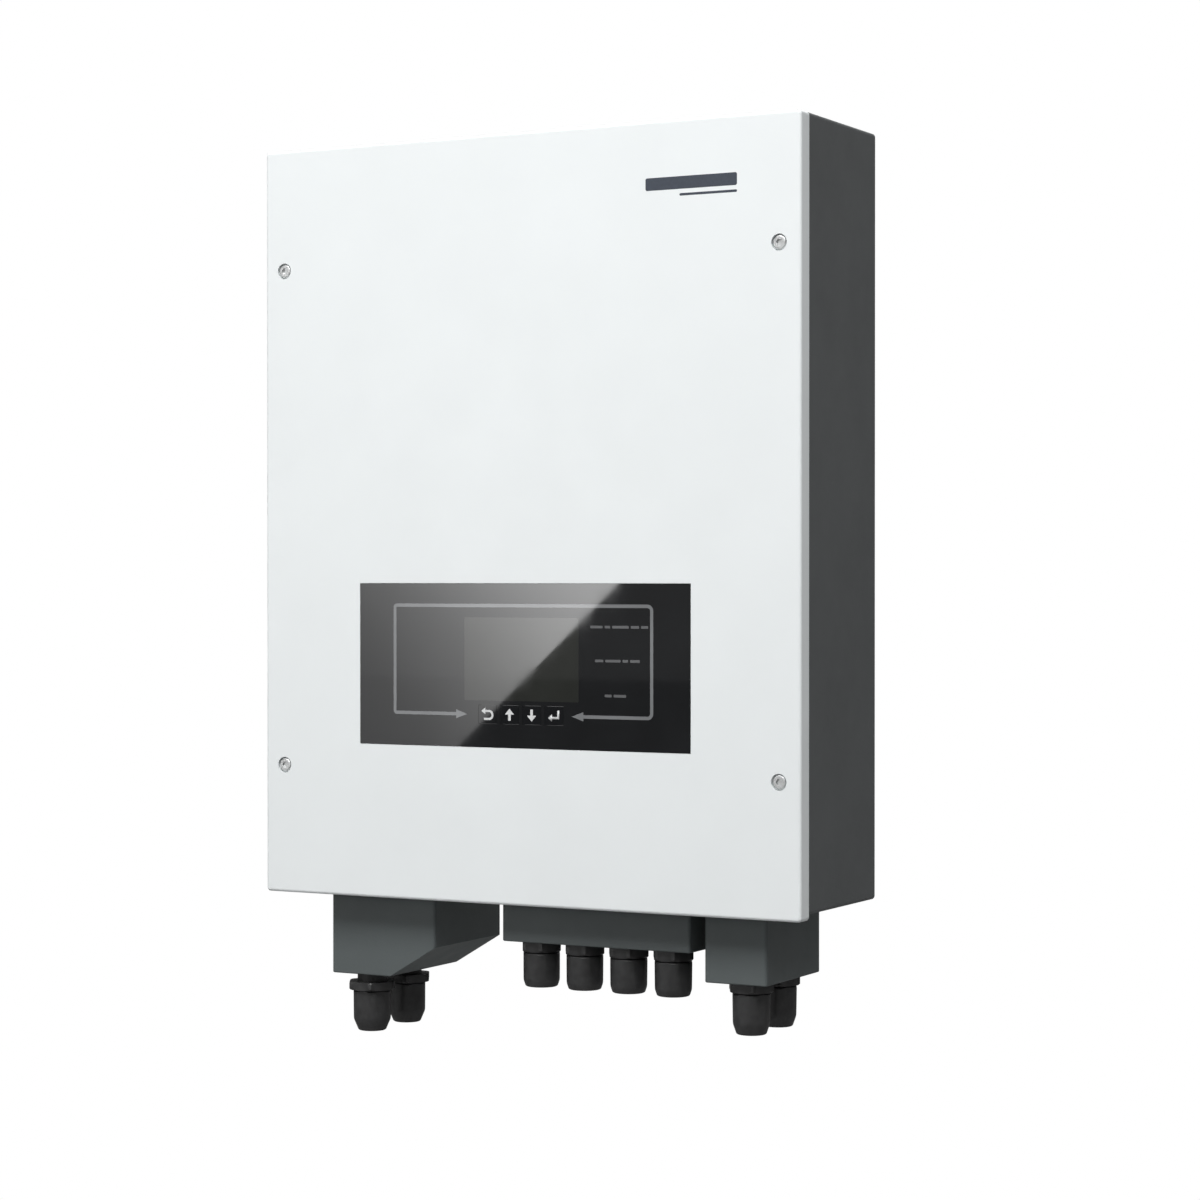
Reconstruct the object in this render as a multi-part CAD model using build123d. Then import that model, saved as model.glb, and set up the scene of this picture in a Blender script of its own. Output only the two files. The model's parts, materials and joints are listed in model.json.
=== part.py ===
from build123d import *
import os
from dataclasses import dataclass

# A wall-hung string inverter: a flat white cover on a dark metal housing, a finned heat sink
# behind it, a display in the cover, and three boxes with cable glands underneath.
#
# Millimetres. +Z is up, +X is to the right of a person who faces the inverter, and the front
# faces -Y. The pieces are modelled about the cover: X = 0 and Z = 0 at its middle, Y = 0 on its
# front face. place_on_wall then moves them to the part's own frame, whose origin is the centre
# of the wall bracket's bolt pattern on the wall.

# Driving dimensions
wall_distance = 173.0       # front face of the cover to the wall
bracket_height = 150.0      # bolt pattern's centre above the cover's middle
cover_width = 397.0
cover_height = 500.0
cover_depth = 12.3
cover_face = 3.2            # thickness of the cover's face
cover_rim = 3.0             # thickness of the cover's turned-back rim
cover_corner = 2.5          # radius of the corners seen from the front
cover_edge = 2.0            # radius round the edge of the front face
joint_gap = 0.2             # between the cover's rim and the housing
housing_back = 117.0
housing_bottom = -246.5     # the cover hangs a little lower than the housing
housing_edge = 1.5
sheet = 2.5                 # housing and gland box walls
back_sheet = 3.0
flange_width = 32.0         # the housing's front flange, turned inwards

cover_screw_x = 183.6
cover_screw_heights = (169.0, -164.0)
cover_boss_r = 6.8
cover_recess_r = 5.3        # recess round a cover screw's head
cover_recess_depth = 2.9

panel_width = 245.7
panel_heights = (-148.0, -41.4)
panel_front = 0.1           # the panel lies this far back from the cover's front face
panel_thickness = 1.7
panel_tape = 0.2
window_width = 200.0        # opening in the cover behind the panel
window_heights = (-135.0, -56.0)
key_names = ("back", "up", "down", "enter")
key_pitch = 16.5
key_width = 13.5
key_height = 12.0
key_z = -126.5
key_gap = 0.15
key_travel = 0.6
display_board_y = 9.3
display_board_width = 224.0
display_board_heights = (-143.0, -48.0)
display_post_x = 106.0
display_post_heights = (-139.0, -52.0)
legend_heights = (-69.0, -90.8, -112.9)
legend_x = 72.0

power_board_y = 88.0
power_board_thickness = 2.0
power_board_width = 330.0
power_board_heights = (-190.0, 205.0)
board_thickness = 1.6
pillar_length = 23.5

sink_width = 320.0
sink_height = 360.0
sink_base = 8.0
sink_gasket = 1.5
fin_count = 27
fin_thickness = 2.5
fin_length = 32.0
back_window_width = 280.0
back_window_height = 300.0
pedestal_width = 200.0
pedestal_heights = (-10.0, 110.0)
pedestal_front = 103.0
module_xs = (-65.0, 0.0, 65.0)

steel = 2.0                 # bracket and hanger sheet
bolt_spacing_x = 240.0
bolt_spacing_z = 50.0
bolt_hole_r = 4.5
lock_screw_y = 122.0
lock_screw_z = 145.0

box_gasket = 1.0
gland_overlap = 0.6         # gap between a gland's flange and its tightened dome nut
case_screw_r = 2.0
case_screw_length = 10.0

panel_back = panel_front + panel_thickness
housing_front = cover_depth + joint_gap
housing_top = cover_height / 2
back_face = housing_back - back_sheet
sink_front = housing_back + sink_gasket
fin_root = sink_front + sink_base
box_top = housing_bottom - box_gasket
wall_y = wall_distance


# Basic shapes

def across(width):
    return (-width / 2, width / 2)


def block(x, y, z):
    """A box between a pair of limits on each axis."""
    centre = Pos((x[0] + x[1]) / 2, (y[0] + y[1]) / 2, (z[0] + z[1]) / 2)
    return centre * Box(x[1] - x[0], y[1] - y[0], z[1] - z[0])


def rod_y(x, z, radius, y):
    return Pos(x, (y[0] + y[1]) / 2, z) * Rot(90, 0, 0) * Cylinder(radius, y[1] - y[0])


def rod_x(y, z, radius, x):
    return Pos((x[0] + x[1]) / 2, y, z) * Rot(0, 90, 0) * Cylinder(radius, x[1] - x[0])


def rod_z(x, y, radius, z):
    return Pos(x, y, (z[0] + z[1]) / 2) * Cylinder(radius, z[1] - z[0])


def prism_y(sketch, y):
    """A sketch drawn in X and Z, given thickness between two depths."""
    return Pos(0, y[0], 0) * extrude(Plane.XZ * sketch, -(y[1] - y[0]))


def bent_sheet(points, radius, thickness, width):
    """A folded strip: its middle line in Y and Z, its width across X."""
    line = FilletPolyline(*points, radius=radius)
    return extrude(Plane.YZ * trace(line, thickness), width / 2, both=True)


def frame_ring(outer_x, outer_z, band, y):
    """A flat rectangular ring, such as a gasket."""
    inner_x = (outer_x[0] + band, outer_x[1] - band)
    inner_z = (outer_z[0] + band, outer_z[1] - band)
    ring = block(outer_x, y, outer_z)
    return ring - block(inner_x, (y[0] - 1, y[1] + 1), inner_z)


def screw(radius, length, head_r, head_h, socket):
    """A screw along Z: its head stands on Z = 0 and its shank goes down."""
    head = Pos(0, 0, head_h / 2) * Cylinder(head_r, head_h)
    head = fillet(head.edges().sort_by(Axis.Z)[-1], head_h * 0.35)
    recess = extrude(Pos(0, 0, head_h) * RegularPolygon(socket, 6), -head_h * 0.55)
    return head - recess + Pos(0, 0, -length / 2) * Cylinder(radius, length)


def facing(direction):
    """Turns a screw's head from +Z to another side."""
    turns = {"+Z": (0, 0, 0), "-Y": (90, 0, 0), "+Y": (-90, 0, 0), "+X": (0, 90, 0), "-X": (0, -90, 0)}
    return Rot(*turns[direction])


def group(pieces):
    return Compound(children=list(pieces))


# Cover

def cover_screw_places():
    return [(side * cover_screw_x, z) for z in cover_screw_heights for side in (-1, 1)]


def front_cover():
    tray = block(across(cover_width), (0, cover_depth), across(cover_height))
    tray = fillet(tray.edges().filter_by(Axis.Y), cover_corner)
    tray = fillet(tray.faces().sort_by(Axis.Y)[0].edges(), cover_edge)
    inner_width = cover_width - 2 * cover_rim
    inner_height = cover_height - 2 * cover_rim
    tray -= block(across(inner_width), (cover_face, cover_depth + 1), across(inner_height))
    for x, z in cover_screw_places():
        tray += rod_y(x, z, cover_boss_r, (cover_face - 0.5, cover_depth))
    for x in (-display_post_x, display_post_x):
        for z in display_post_heights:
            tray += rod_y(x, z, 3.0, (cover_face - 0.5, display_board_y))
    for x, z in cover_screw_places():
        tray -= rod_y(x, z, cover_recess_r, (-1, cover_recess_depth))
        tray -= rod_y(x, z, 2.2, (-1, cover_depth + 1))
    for x in (-display_post_x, display_post_x):
        for z in display_post_heights:
            tray -= rod_y(x, z, 1.45, (cover_face, display_board_y + 1))
    recess = panel_back + panel_tape
    slack = 0.15
    recess_heights = (panel_heights[0] - slack, panel_heights[1] + slack)
    tray -= block(across(panel_width + 2 * slack), (-1, recess), recess_heights)
    tray -= block(across(window_width), (-1, cover_face + 1), window_heights)
    return tray


def cover_screws():
    one = screw(2.0, 20.0, 4.5, 2.4, 2.3)
    return group(Pos(x, cover_recess_depth, z) * facing("-Y") * one for x, z in cover_screw_places())


def cover_gasket():
    outer_z = (housing_bottom + 22, housing_top - 22)
    return frame_ring(across(cover_width - 44), outer_z, 8.0, (cover_face, housing_front))


# Housing

def gland_boxes():
    """Each box: its outline's X limits, its Y limits, its bottom and its top flange's width."""
    return {
        "left": ((-162.0, -80.0), (25.0, 112.0), -306.0, 12.0),
        "middle": ((-28.4, 110.0), (25.0, 62.0), -276.9, 9.0),
        "right": ((120.1, 163.8), (25.0, 107.0), -294.7, 9.0),
    }


def inset(limits, amount):
    return (limits[0] + amount, limits[1] - amount)


def box_screw_places(x, y):
    edge = 6.0
    return [(px, py) for px in inset(x, edge) for py in inset(y, edge)]


def housing():
    body = block(across(cover_width), (housing_front, housing_back), (housing_bottom, housing_top))
    body = fillet(body.edges().filter_by(Axis.Y), cover_corner)
    body = fillet(body.faces().sort_by(Axis.Y)[-1].edges(), housing_edge)
    inside_x = across(cover_width - 2 * sheet)
    inside_z = (housing_bottom + sheet, housing_top - sheet)
    body -= block(inside_x, (housing_front + sheet, back_face), inside_z)
    opening_z = (housing_bottom + flange_width, housing_top - flange_width)
    opening_x = across(cover_width - 2 * flange_width)
    body -= block(opening_x, (housing_front - 1, housing_front + sheet + 1), opening_z)
    window_y = (back_face - 1, housing_back + 1)
    body -= block(across(back_window_width), window_y, across(back_window_height))
    for x, z in cover_screw_places():
        body += rod_y(x, z, 6.0, (housing_front + sheet - 0.5, housing_front + 12))
        body -= rod_y(x, z, 2.05, (housing_front - 1, housing_front + 11))
    for x, y, bottom, flange in gland_boxes().values():
        through_z = (housing_bottom - 1, housing_bottom + sheet + 1)
        body -= block(inset(x, flange), inset(y, flange), through_z)
        for px, py in box_screw_places(x, y):
            body -= rod_z(px, py, case_screw_r + 0.05, through_z)
    for x, z in sink_screw_places() + hanger_screw_places():
        body -= rod_y(x, z, case_screw_r + 0.05, window_y)
    body -= rod_z(*vent_place, 6.1, (housing_bottom - 1, housing_bottom + sheet + 1))
    body -= rod_x(earth_place[0], earth_place[1], 2.55, (-cover_width / 2 - 1, -cover_width / 2 + 4))
    return body


vent_place = (-40.0, 84.0)
earth_place = (98.0, -222.0)


def vent_valve():
    """A breathing plug: a thread through the floor, a nut inside and a round cap below."""
    x, y = vent_place
    floor = housing_bottom
    cap = rod_z(x, y, 8.0, (floor - 5.5, floor))
    cap = fillet(cap.edges().sort_by(Axis.Z)[0], 1.5)
    stem = rod_z(x, y, 6.0, (floor - 1, floor + sheet + 6))
    nut = Pos(x, y, floor + sheet) * extrude(RegularPolygon(8.5, 6), 3.5)
    return cap + stem + nut


def earth_terminal():
    """The outer earth screw on the left side, with its two washers."""
    y, z = earth_place
    side = -cover_width / 2
    screw_body = Pos(side - 2.4, y, z) * facing("-X") * screw(2.5, 9.0, 4.6, 3.2, 2.4)
    washer = rod_x(y, z, 6.0, (side - 1.2, side))
    spring_washer = rod_x(y, z, 4.6, (side - 2.4, side - 1.2))
    return screw_body + washer + spring_washer


# Heat sink, hanger and wall bracket

def sink_screw_places():
    edge = 10.0
    sides = [(side * (sink_width / 2 - edge), z) for side in (-1, 1) for z in (-130.0, -43.0, 43.0, 130.0)]
    ends = [(x, end * (sink_height / 2 - 15.0)) for end in (-1, 1) for x in (-75.0, 0.0, 75.0)]
    return sides + ends


def heat_sink():
    height = across(sink_height)
    sink = block(across(sink_width), (sink_front, fin_root), height)
    sink += block(across(pedestal_width), (pedestal_front, sink_front + 1), pedestal_heights)
    pitch = (sink_width - fin_thickness) / (fin_count - 1)
    for i in range(fin_count):
        x = -sink_width / 2 + i * pitch
        sink += block((x, x + fin_thickness), (fin_root - 0.5, fin_root + fin_length), height)
    for x, z in sink_screw_places():
        sink -= rod_y(x, z, case_screw_r + 0.05, (sink_front - 1, sink_front + 6.5))
    for side in (-1, 1):
        limits = sorted((side * (sink_width / 2 + 1), side * (sink_width / 2 - 14)))
        sink -= rod_x(lock_screw_y, lock_screw_z, 2.05, limits)
    return sink


def heat_sink_gasket():
    y = (housing_back, sink_front)
    ring = block(across(sink_width), y, across(sink_height))
    ring -= block(across(back_window_width), inset(y, -1), across(back_window_height))
    for x, z in sink_screw_places():
        ring -= rod_y(x, z, 2.3, inset(y, -1))
    return ring


lip_y = 159.0               # the bracket's upstanding lip
lip_top = 213.0
hook_y = 164.0              # the hanger's down-turned hook
hanger_top = 243.0


def wall_bracket():
    """A plate on the wall, its top edge folded forward and up into a lip, and an ear each side."""
    middle = wall_y - steel / 2
    low = bracket_height - 45.0
    shelf = bracket_height + 44.0
    points = [(middle, low), (middle, shelf), (lip_y, shelf), (lip_y, lip_top)]
    bracket = bent_sheet(points, 2.5, steel, 260.0)
    ear_x = sink_width / 2 + 3.0
    plate_y = (wall_y - steel, wall_y)
    bracket += block(across(2 * ear_x + steel), plate_y, (low, shelf - 14.0))
    for side in (-1, 1):
        x = (side * ear_x - steel / 2, side * ear_x + steel / 2)
        ear_z = (lock_screw_z - 15.0, lock_screw_z + 15.0)
        ear = block(x, (lock_screw_y - 4.7, wall_y), ear_z)
        ear = fillet(ear.edges().filter_by(Axis.X).group_by(Axis.Y)[0], 5.0)
        bracket += ear
        bracket -= rod_x(lock_screw_y, lock_screw_z, 2.3, inset(x, -1))
    for x in across(bolt_spacing_x):
        for dz in across(bolt_spacing_z):
            bracket -= rod_y(x, bracket_height + dz, bolt_hole_r, inset(plate_y, -1))
    return bracket


def lock_screws():
    one = screw(2.0, 16.0, 3.8, 2.6, 1.8)
    x = sink_width / 2 + 3.0 + steel / 2
    sides = (("-X", -x), ("+X", x))
    return group(Pos(px, lock_screw_y, lock_screw_z) * facing(way) * one for way, px in sides)


def hanger_screw_places():
    return [(x, 231.0) for x in (-100.0, -40.0, 40.0, 100.0)]


def hanger_plate():
    """The rail on the housing's back whose hook drops behind the bracket's lip."""
    start = housing_back + steel / 2
    web = lip_top + steel / 2
    points = [(start, hanger_top), (start, web), (hook_y, web), (hook_y, web - 15.0)]
    rail = bent_sheet(points, 2.5, steel, 240.0)
    for x, z in hanger_screw_places():
        rail -= rod_y(x, z, case_screw_r + 0.05, (housing_back - 1, housing_back + steel + 1))
    return rail


def case_screws():
    """The M4 pan-head screws of the heat sink, the hanger and the gland boxes, all alike."""
    one = screw(case_screw_r, case_screw_length, 3.9, 2.6, 1.9)
    places = [Pos(x, back_face, z) * facing("-Y") for x, z in sink_screw_places()]
    places += [Pos(x, housing_back + steel, z) * facing("+Y") for x, z in hanger_screw_places()]
    for x, y, bottom, flange in gland_boxes().values():
        floor = housing_bottom + sheet
        places += [Pos(px, py, floor) * facing("+Z") for px, py in box_screw_places(x, y)]
    return group(place * one for place in places)


# Display

def key_xs():
    middle = (len(key_names) - 1) / 2
    return [(i - middle) * key_pitch for i in range(len(key_names))]


def display_panel():
    panel = block(across(panel_width), (panel_front, panel_back), panel_heights)
    for x in key_xs():
        hole_x = (x - key_width / 2 - key_gap, x + key_width / 2 + key_gap)
        hole_z = (key_z - key_height / 2 - key_gap, key_z + key_height / 2 + key_gap)
        panel -= block(hole_x, (-1, panel_back + 1), hole_z)
    return panel


def display_tape():
    y = (panel_back, panel_back + panel_tape)
    tape = block(across(panel_width - 2), y, (panel_heights[0] + 1, panel_heights[1] - 1))
    return tape - block(across(window_width + 4), inset(y, -1), inset(window_heights, -2))


def display_key(x):
    """A key cap flush with the panel, its retaining collar and the stem that meets its switch."""
    cap_z = (key_z - key_height / 2, key_z + key_height / 2)
    cap = block((x - key_width / 2, x + key_width / 2), (panel_front, 2.6), cap_z)
    collar_y = (panel_back + 0.1, panel_back + 1.0)
    collar = block((x - 7.4, x + 7.4), collar_y, (key_z - 6.9, key_z + 6.9))
    switch_tip = display_board_y - 4.3
    stem = rod_y(x, key_z, 1.6, (2.0, switch_tip - key_travel - 0.05))
    return cap + collar + stem


def key_switches():
    pieces = []
    for x in key_xs():
        y = display_board_y
        base = block((x - 3, x + 3), (y - 3.4, y), (key_z - 3, key_z + 3))
        pieces.append(base + rod_y(x, key_z, 1.7, (y - 4.3, y - 3.3)))
    return group(pieces)


def lcd_module():
    """The liquid crystal display: a glass in a pressed frame, held on the board by four tabs."""
    front = panel_back + 0.5
    frame = block((-48.0, 48.0), (front, display_board_y - 1.0), (-119.0, -60.0))
    frame = fillet(frame.edges().filter_by(Axis.Y), 1.5)
    frame -= block((-42.5, 42.5), (front - 1, front + 0.8), (-117.4, -63.7))
    for x in (-40.0, 40.0):
        for z in (-112.0, -67.0):
            frame += block((x - 3, x + 3), (display_board_y - 1.5, display_board_y), (z - 2, z + 2))
    return frame


def status_leds():
    y = display_board_y
    pieces = []
    for z in legend_heights:
        for x in (legend_x - 12.0, legend_x, legend_x + 12.0):
            pieces.append(block((x - 1.6, x + 1.6), (y - 1.9, y), (z - 0.9, z + 0.9)))
    return group(pieces)


ribbon_x = -70.0
ribbon_start = -110.0
ribbon_end = -70.0


def display_board():
    back = display_board_y + board_thickness
    board = block(across(display_board_width), (display_board_y, back), display_board_heights)
    for x in (-display_post_x, display_post_x):
        for z in display_post_heights:
            board -= rod_y(x, z, 1.6, (display_board_y - 1, back + 1))
    socket_x = (ribbon_x - 12, ribbon_x + 12)
    board += block(socket_x, (back, back + 6), (ribbon_start - 4, ribbon_start + 4))
    board += block((20, 34), (back, back + 1.6), (-100, -86))
    board += block((60, 84), (back, back + 4), (-130, -120))
    return board


def display_screws():
    one = screw(1.4, 6.0, 2.7, 1.8, 1.2)
    back = display_board_y + board_thickness
    places = [(x, z) for x in (-display_post_x, display_post_x) for z in display_post_heights]
    return group(Pos(x, back, z) * facing("+Y") * one for x, z in places)


# Power and control electronics

control_board_x = (-155.0, -15.0)
control_board_z = (-150.0, 20.0)
control_front = power_board_y - pillar_length - board_thickness


def corners(x, z, edge):
    return [(px, pz) for px in inset(x, edge) for pz in inset(z, edge)]


def power_board():
    y = (power_board_y, power_board_y + power_board_thickness)
    board = block(across(power_board_width), y, power_board_heights)
    for x, z in corners(across(power_board_width), power_board_heights, 6.0):
        board -= rod_y(x, z, 2.1, inset(y, -1))
    for x, z in corners(control_board_x, control_board_z, 6.0):
        board -= rod_y(x, z, 2.1, inset(y, -1))
    board += block((-150, -20), (power_board_y - 12, power_board_y), (24, 34))
    board += block((10, 60), (power_board_y - 18, power_board_y), (-90, -60))
    return board


def control_board():
    """The control board with its processor, memory, relay drivers and ribbon socket."""
    y = (control_front, control_front + board_thickness)
    board = block(control_board_x, y, control_board_z)
    for x, z in corners(control_board_x, control_board_z, 6.0):
        board -= rod_y(x, z, 2.1, inset(y, -1))
    socket_z = (ribbon_end - 4, ribbon_end + 4)
    board += block((ribbon_x - 12, ribbon_x + 12), (control_front - 6, control_front), socket_z)
    board += block((-112, -84), (control_front - 2, control_front), (-30, -2))
    board += block((-60, -42), (control_front - 1.6, control_front), (-30, -16))
    board += block((-130, -40), (control_front - 9, control_front), (-144, -136))
    return board


def board_pillars():
    """Hex pillars, all alike: four to the housing's back and four that carry the control board."""
    pieces = []
    power_back = power_board_y + power_board_thickness
    rows = [(corners(across(power_board_width), power_board_heights, 6.0), power_back)]
    rows += [(corners(control_board_x, control_board_z, 6.0), control_front + board_thickness)]
    for places, y in rows:
        for x, z in places:
            hexagon = Plane.XZ * RegularPolygon(4.0, 6)
            pillar = Pos(x, y, z) * extrude(hexagon, -pillar_length)
            pieces.append(pillar - rod_y(x, z, 1.6, (y - 1, y + pillar_length + 1)))
    return group(pieces)


def dc_link_capacitors():
    pieces = []
    for x in (-140.0, -106.0, -72.0, -38.0):
        for z in (116.0, 152.0):
            can = rod_y(x, z, 15.0, (power_board_y - 46, power_board_y))
            can = fillet(can.edges().sort_by(Axis.Y)[0], 1.5)
            groove = rod_y(x, z, 16.0, (power_board_y - 6, power_board_y - 4))
            groove -= rod_y(x, z, 14.2, (power_board_y - 6, power_board_y - 4))
            pieces.append(can - groove)
    return group(pieces)


def boost_inductors():
    pieces = []
    for x in (46.0, 124.0):
        case = block((x - 36, x + 36), (power_board_y - 56, power_board_y), (92.0, 176.0))
        case = fillet(case.edges().filter_by(Axis.Y), 5.0)
        pot = block((x - 32, x + 32), (power_board_y - 57, power_board_y - 53), (96.0, 172.0))
        pieces.append(case - pot)
    return group(pieces)


def filter_chokes():
    pieces = []
    for x in (45.0, 118.0):
        z = 15.0
        coil = rod_y(x, z, 28.0, (power_board_y - 30, power_board_y))
        coil -= rod_y(x, z, 13.0, (power_board_y - 31, power_board_y + 1))
        rims = coil.edges().filter_by(GeomType.CIRCLE)
        pieces.append(fillet(rims, 5.0))
    return group(pieces)


def relays():
    y = (power_board_y - 25, power_board_y)
    return group(block((x - 14, x + 14), y, (58.0, 71.0)) for x in (-138.0, -104.0, -70.0, -36.0))


def power_modules():
    y = (power_board_y + power_board_thickness, pedestal_front - 0.5)
    return group(block((x - 28, x + 28), y, (18.0, 82.0)) for x in module_xs)


def thermal_pads():
    y = (pedestal_front - 0.5, pedestal_front)
    return group(block((x - 28, x + 28), y, (18.0, 82.0)) for x in module_xs)


def terminal_block(x, poles, pitch, z):
    """A row of cage clamps on the power board: wire mouths below, screws in front."""
    width = poles * pitch
    body = block((x - width / 2, x + width / 2), (power_board_y - 26, power_board_y), z)
    for i in range(poles):
        px = x - width / 2 + (i + 0.5) * pitch
        body -= rod_y(px, (z[0] + z[1]) / 2, pitch * 0.28, (power_board_y - 27, power_board_y - 20))
        mouth_x = (px - pitch * 0.3, px + pitch * 0.3)
        body -= block(mouth_x, (power_board_y - 16, power_board_y - 6), (z[0] - 1, z[0] + 10))
    return body


def battery_terminals():
    return terminal_block(-121.0, 4, 15.0, (-188.0, -160.0))


def ac_terminals():
    return terminal_block(128.0, 5, 13.0, (-188.0, -160.0))


def signal_terminals():
    return terminal_block(36.0, 12, 7.5, (-188.0, -172.0))


def ribbon_cable():
    """The flat lead between the display board and the control board."""
    start_y = display_board_y + board_thickness + 6
    end_y = control_front - 6
    bend_y = (start_y + end_y) / 2
    points = [(start_y, ribbon_start), (bend_y, ribbon_start), (bend_y, ribbon_end), (end_y, ribbon_end)]
    return Pos(ribbon_x, 0, 0) * bent_sheet(points, 9.0, 1.0, 20.0)


# Gland boxes and cable glands

def left_box_outline():
    x, y, bottom, flange = gland_boxes()["left"]
    slope_foot = -116.0
    slope_top = -284.5
    points = [(x[0], box_top), (x[1], box_top), (x[1], slope_top), (slope_foot, bottom), (x[0], bottom)]
    return make_face(Polyline(*points, close=True))


def plain_outline(name):
    x, y, bottom, flange = gland_boxes()[name]
    return Pos((x[0] + x[1]) / 2, (box_top + bottom) / 2) * Rectangle(x[1] - x[0], box_top - bottom)


def gland_box(name, outline):
    """An open-topped shell with a flange turned inwards at its top."""
    x, y, bottom, flange = gland_boxes()[name]
    shell = prism_y(outline, y)
    shell = fillet(shell.edges().filter_by(Axis.Z), 2.0)
    shell = fillet(shell.faces().sort_by(Axis.Z)[0].edges(), 1.0)
    hollow = prism_y(offset(outline, -sheet, kind=Kind.INTERSECTION), inset(y, sheet))
    shell -= hollow
    shell -= block(inset(x, flange), inset(y, flange), (box_top - sheet - 1, box_top + 1))
    for px, py in box_screw_places(x, y):
        shell -= rod_z(px, py, case_screw_r + 0.05, (box_top - sheet - 1, box_top + 1))
    for gland in glands():
        if gland.box == name:
            shell -= rod_z(gland.x, gland.y, gland.size.thread_r + 0.2, (bottom - 1, bottom + sheet + 1))
    return shell


def gland_box_gaskets():
    pieces = []
    for x, y, bottom, flange in gland_boxes().values():
        z = (box_top, housing_bottom)
        gasket = block(x, y, z) - block(inset(x, flange), inset(y, flange), inset(z, -1))
        for px, py in box_screw_places(x, y):
            gasket -= rod_z(px, py, 2.3, inset(z, -1))
        pieces.append(gasket)
    return group(pieces)


@dataclass
class GlandSize:
    """Radii and lengths of one size of cable gland, measured down from its box."""
    thread_r: float         # entry thread
    neck: float             # length of plain neck above the flange
    flange_across: float    # across the flange's corners
    flange_height: float
    nut_r: float            # dome nut at its open end
    tip_r: float            # dome nut at its mouth
    tip_height: float       # length of the dome's taper
    length: float           # box to the mouth
    cable_r: float          # bore of the sealing insert

    def __post_init__(self):
        self.flange_end = self.neck + self.flange_height
        self.male_r = self.nut_r * 0.785
        self.nut_bore_r = self.male_r + 0.2
        self.cage_r = self.male_r - 0.5
        self.cage_bore_r = self.cage_r - 0.8
        self.seal_r = self.cage_bore_r - 0.3
        self.entry_bore_r = self.cable_r + 1.0
        self.mouth_r = self.cable_r + 1.2
        self.seal_end_r = self.cable_r + 0.7


@dataclass
class Gland:
    name: str
    box: str
    size: GlandSize
    x: float
    y: float


small_gland = GlandSize(10.0, 0.0, 29.0, 7.0, 12.8, 10.6, 4.5, 30.2, 6.0)
medium_gland = GlandSize(10.0, 0.0, 31.5, 6.5, 12.7, 9.6, 7.0, 33.5, 6.0)
large_gland = GlandSize(10.0, 6.0, 35.0, 5.5, 13.4, 9.4, 8.0, 39.5, 6.5)


def glands():
    places = [Gland("left_front", "left", large_gland, -140.5, 42.0)]
    places += [Gland("left_rear", "left", large_gland, -140.5, 86.5)]
    for i in range(4):
        x = 40.8 + (i - 1.5) * 32.5
        places.append(Gland(f"middle_{i + 1}", "middle", small_gland, x, 42.0))
    places += [Gland("right_front", "right", medium_gland, 144.0, 44.5)]
    places += [Gland("right_rear", "right", medium_gland, 144.0, 84.5)]
    return places


def gland_floor(gland):
    """Where a gland meets the underside of its box."""
    return Pos(gland.x, gland.y, gland_boxes()[gland.box][2])


def cylinder_z(radius, z):
    return rod_z(0, 0, radius, z)


def gland_body(size):
    """Entry thread, hexagonal flange, male thread and the cage around the sealing insert."""
    flange_z = -size.flange_end
    body = cylinder_z(size.thread_r, (-size.neck - 1, sheet + 8))
    body += Pos(0, 0, flange_z) * extrude(RegularPolygon(size.flange_across / 2, 6), size.flange_height)
    body += cylinder_z(size.male_r, (flange_z - 8, flange_z + 1))
    body += cylinder_z(size.cage_r, (flange_z - 14, flange_z - 7))
    body -= cylinder_z(size.entry_bore_r, (flange_z - 20, sheet + 9))
    body -= cylinder_z(size.cage_bore_r, (flange_z - 20, flange_z - 4))
    return body


def gland_nut(size):
    """The dome nut: a tapered hexagon with rounded corners and a conical seat inside."""
    top = -size.flange_end - gland_overlap
    bottom = -size.length
    shoulder = bottom + size.tip_height
    shoulder_r = size.nut_r - 0.7
    outline = Polyline((0, top), (size.nut_r, top), (shoulder_r, shoulder), (size.tip_r, bottom), (0, bottom),
                       close=True)
    nut = revolve(Plane.XZ * make_face(outline), Axis.Z)
    hexagon = RegularPolygon(size.nut_r * 0.94, 6, major_radius=False)
    flats = extrude(Pos(0, 0, bottom) * hexagon, top - bottom)
    nut = nut & flats
    nut = fillet(nut.edges().filter_by(GeomType.CIRCLE).group_by(Axis.Z)[0], 1.0)
    seat_top = bottom + 9.0
    seat_end = bottom + 3.0
    cone = Polyline((0, top + 1), (size.nut_bore_r, top + 1), (size.nut_bore_r, seat_top),
                    (size.mouth_r, seat_end), (0, seat_end), close=True)
    nut -= revolve(Plane.XZ * make_face(cone), Axis.Z)
    nut -= cylinder_z(size.mouth_r, (bottom - 1, seat_end + 1))
    return nut


def gland_seal(size):
    """The rubber insert that a cable goes through, with a thin spigot in the body's bore."""
    spigot = -size.flange_end - 2.5
    shoulder = -size.flange_end - 4.4
    taper = -size.length + 7.5
    bottom = -size.length + 2.2
    outline = Polyline((size.cable_r, spigot), (size.seal_end_r, spigot), (size.seal_end_r, shoulder),
                       (size.seal_r, shoulder), (size.seal_r, taper), (size.seal_end_r, bottom),
                       (size.cable_r, bottom), close=True)
    return revolve(Plane.XZ * make_face(outline), Axis.Z)


def gland_lock_nut(size):
    across_flats = size.thread_r * 2 + 6.0
    nut = Pos(0, 0, sheet) * extrude(RegularPolygon(across_flats / 2, 6, major_radius=False), 5.0)
    return nut - cylinder_z(size.thread_r + 0.05, (sheet - 1, sheet + 6))


def gland_bodies(box):
    return group(gland_floor(gland) * gland_body(gland.size) for gland in glands() if gland.box == box)


def gland_lock_nuts():
    return group(gland_floor(gland) * gland_lock_nut(gland.size) for gland in glands())


# All pieces

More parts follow.
